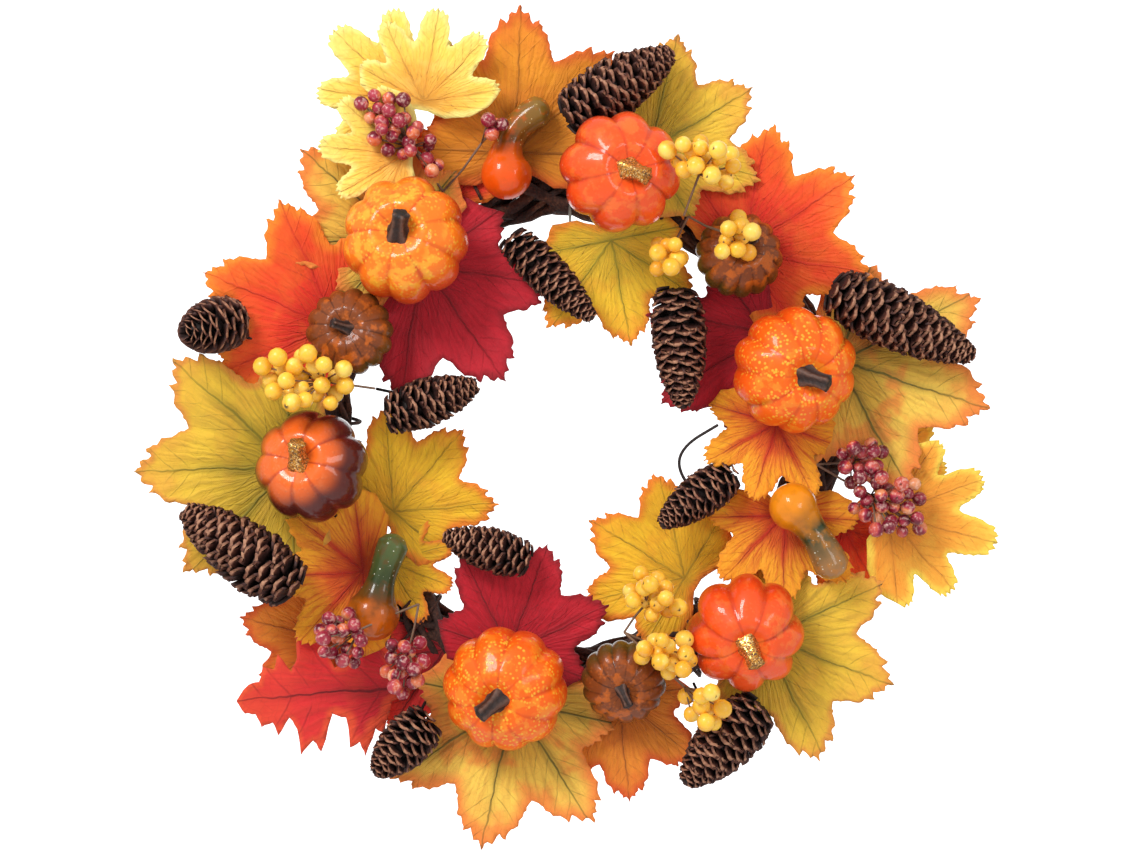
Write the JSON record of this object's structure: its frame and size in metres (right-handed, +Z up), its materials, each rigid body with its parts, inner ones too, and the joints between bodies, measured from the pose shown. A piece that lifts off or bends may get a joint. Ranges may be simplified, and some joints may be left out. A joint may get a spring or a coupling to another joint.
{
  "type": "door wreath",
  "caption": "Round harvest door wreath: a grapevine ring dressed with silk autumn leaves, small pumpkins, gourds, pine cones and berry sprays, with a wire hanging loop.",
  "frame": {"origin": "the point under the top of the hanging loop where a hook carries the wreath", "axes": "+Z up, +X to the viewer's right, the door on the +Y side, so the wreath faces -Y"},
  "size_m": [0.4845, 0.1275, 0.4728],
  "materials": {
    "vine": "matte",
    "wire": "satin",
    "leaf_gold": "printed cloth",
    "leaf_orange": "printed cloth",
    "leaf_red": "printed cloth",
    "pumpkin_skin": "glossy paint on foam",
    "brown_pumpkin_skin": "glossy paint on foam",
    "stem_glitter": "gold glitter",
    "stem_brown": "matte paint",
    "gourd_skin": "glossy paint on foam",
    "cone_scale": "matte",
    "berry_yellow": "glossy",
    "berry_burgundy": "frosted"
  },
  "bodies": {
    "wreath": {"brown_pumpkin_bottom": "brown_pumpkin_skin", "brown_pumpkin_left": "brown_pumpkin_skin", "brown_pumpkin_right": "brown_pumpkin_skin", "cone_bottom_left": "cone_scale", "cone_bottom_right": "cone_scale", "cone_inner_left": "cone_scale", "cone_inner_low": "cone_scale", "cone_inner_right": "cone_scale", "cone_inner_top": "cone_scale", "cone_left": "cone_scale", "cone_lower_left": "cone_scale", "cone_right": "cone_scale", "cone_top": "cone_scale", "gourd_lower_left": "gourd_skin", "gourd_right": "gourd_skin", "gourd_top": "gourd_skin", "hanger_tie": "wire", "leaf_amber_top": "leaf_orange", "leaf_crimson_inner_left": "leaf_red", "leaf_crimson_inner_right": "leaf_red", "leaf_crimson_low": "leaf_red", "leaf_curled_left": "leaf_orange", "leaf_curled_lower_right": "leaf_orange", "leaf_curled_right": "leaf_orange", "leaf_gold_bottom": "leaf_gold", "leaf_gold_inner_left": "leaf_gold", "leaf_gold_inner_low": "leaf_gold", "leaf_gold_inner_top": "leaf_gold", "leaf_gold_lower_right": "leaf_gold", "leaf_gold_right": "leaf_gold", "leaf_gold_upper_left": "leaf_gold", "leaf_oak_right": "leaf_orange", "leaf_oak_upper_left": "leaf_gold", "leaf_olive_left": "leaf_gold", "leaf_olive_top_right": "leaf_gold", "leaf_red_oak_lower_left": "leaf_red", "leaf_scarlet_left": "leaf_orange", "leaf_scarlet_upper_right": "leaf_orange", "pumpkin_bottom": "pumpkin_skin", "pumpkin_left": "pumpkin_skin", "pumpkin_lower_right": "pumpkin_skin", "pumpkin_right": "pumpkin_skin", "pumpkin_top": "pumpkin_skin", "pumpkin_upper_left": "pumpkin_skin", "stem_bottom": "stem_brown", "stem_left": "stem_glitter", "stem_lower_right": "stem_glitter", "stem_right": "stem_brown", "stem_top": "stem_glitter", "stem_upper_left": "stem_brown", "vine_ring": "vine"},
    "berries_burgundy_top": {"berries_burgundy_top": "berry_burgundy"},
    "berries_yellow_top": {"berries_yellow_top": "berry_yellow"},
    "berries_yellow_inner": {"berries_yellow_inner": "berry_yellow"},
    "berries_yellow_left": {"berries_yellow_left": "berry_yellow"},
    "berries_burgundy_lower_left": {"berries_burgundy_lower_left": "berry_burgundy"},
    "berries_burgundy_right": {"berries_burgundy_right": "berry_burgundy"},
    "berries_yellow_bottom": {"berries_yellow_bottom": "berry_yellow"},
    "cone_hanging": {"cone_hanging": "cone_scale"},
    "hanging_loop": {"hanging_loop": "wire"}
  },
  "joints": [
    {"name": "berries_burgundy_top_bend", "type": "hinge", "parent": "wreath", "child": "berries_burgundy_top", "pos_m": [-0.07136, -0.04229, -0.07007], "axis": [0.8829, 0, 0.4695], "range_deg": [0, 15]},
    {"name": "berries_yellow_top_bend", "type": "hinge", "parent": "wreath", "child": "berries_yellow_top", "pos_m": [0.06197, -0.09424, -0.08773], "axis": [0.9397, 0, -0.342], "range_deg": [0, 15]},
    {"name": "berries_yellow_inner_bend", "type": "hinge", "parent": "wreath", "child": "berries_yellow_inner", "pos_m": [0.06545, -0.06887, -0.08621], "axis": [-0.891, 0, -0.454], "range_deg": [0, 15]},
    {"name": "berries_yellow_left_bend", "type": "hinge", "parent": "wreath", "child": "berries_yellow_left", "pos_m": [-0.1076, -0.07407, -0.18141], "axis": [0.1392, 0, 0.9903], "range_deg": [0, 15]},
    {"name": "berries_burgundy_lower_left_bend", "type": "hinge", "parent": "wreath", "child": "berries_burgundy_lower_left", "pos_m": [-0.08398, -0.06474, -0.30088], "axis": [-0.7431, 0, 0.6691], "range_deg": [0, 15]},
    {"name": "berries_burgundy_right_bend", "type": "hinge", "parent": "wreath", "child": "berries_burgundy_right", "pos_m": [0.13864, -0.04252, -0.22376], "axis": [-0.1736, 0, -0.9848], "range_deg": [0, 15]},
    {"name": "berries_yellow_bottom_bend", "type": "hinge", "parent": "wreath", "child": "berries_yellow_bottom", "pos_m": [0.03002, -0.06703, -0.31633], "axis": [-0.1392, 0, -0.9903], "range_deg": [0, 15]},
    {"name": "cone_hanging_bend", "type": "hinge", "parent": "wreath", "child": "cone_hanging", "pos_m": [0.08295, -0.05047, -0.20138], "axis": [-0.9659, 0, 0.2588], "range_deg": [0, 12]},
    {"name": "hanging_loop_swing", "type": "hinge", "parent": "wreath", "child": "hanging_loop", "pos_m": [0, 0, -0.045], "axis": [1, 0, 0], "range_deg": [-90, 15]}
  ]
}
